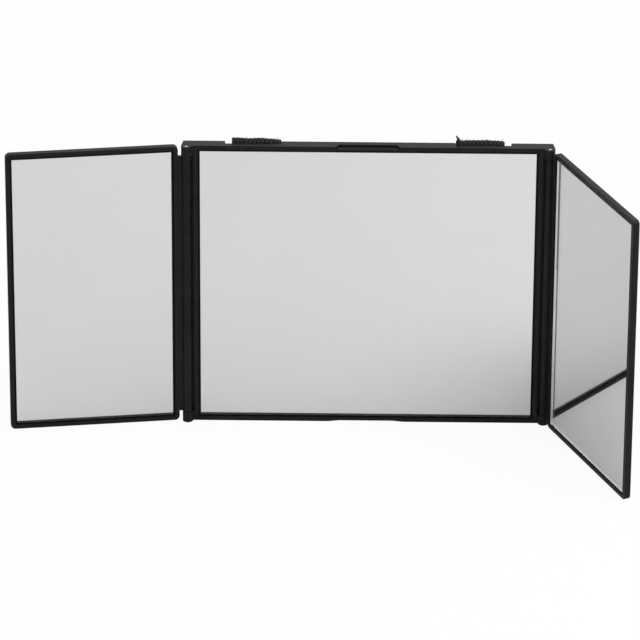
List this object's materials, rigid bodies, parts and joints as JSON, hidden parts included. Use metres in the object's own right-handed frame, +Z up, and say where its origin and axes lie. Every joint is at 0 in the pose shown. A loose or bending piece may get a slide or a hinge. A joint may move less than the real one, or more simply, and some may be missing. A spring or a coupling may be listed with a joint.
{
  "type": "trifold mirror",
  "caption": "Trifold mirror in thin black plastic frames: wings hinged on pins fold flat over a centre panel that hangs from webbing straps over its top rail or stands on its foot.",
  "frame": {"origin": "middle of the face that the centre panel stands on, at the middle of its depth", "axes": "+X along the hinge row to the user's right, +Y away from the user, +Z up; the centre glass faces -Y"},
  "size_m": [0.5052, 0.146, 0.2526],
  "materials": {
    "frame_plastic": "fine satin",
    "cover_plastic": "fine grain",
    "mirror_glass": "polished, silvered behind",
    "foam_tape": "matt foam",
    "pin_steel": "turned end",
    "screw_steel": "black zinc",
    "plate_steel": "zinc plated",
    "webbing": "ribbed weave",
    "closure_fabric": "hook and loop pile"
  },
  "bodies": {
    "centre": {"centre_frame": "frame_plastic", "centre_glass": "mirror_glass", "centre_tape": "foam_tape", "back_cover": "cover_plastic", "cover_screws": "screw_steel", "strap_screws": "screw_steel", "left_strap": "webbing", "left_strap_plate": "plate_steel", "left_loop_patch": "closure_fabric", "left_hook_patch": "closure_fabric", "right_strap": "webbing", "right_strap_plate": "plate_steel", "right_loop_patch": "closure_fabric", "right_hook_patch": "closure_fabric", "left_upper_pin": "pin_steel", "left_lower_pin": "pin_steel", "right_upper_pin": "pin_steel", "right_lower_pin": "pin_steel"},
    "left_wing": {"left_wing_frame": "frame_plastic", "left_wing_glass": "mirror_glass", "left_wing_tape": "foam_tape"},
    "right_wing": {"right_wing_frame": "frame_plastic", "right_wing_glass": "mirror_glass", "right_wing_tape": "foam_tape"}
  },
  "joints": [
    {"name": "left_wing_fold", "type": "hinge", "parent": "centre", "child": "left_wing", "pos_m": [-0.1465, -0.0054, 0.125], "axis": [0, 0, 1], "range_deg": [-8, 172]},
    {"name": "right_wing_fold", "type": "hinge", "parent": "centre", "child": "right_wing", "pos_m": [0.1465, -0.0054, 0.125], "axis": [0, 0, -1], "range_deg": [-65, 115]}
  ]
}
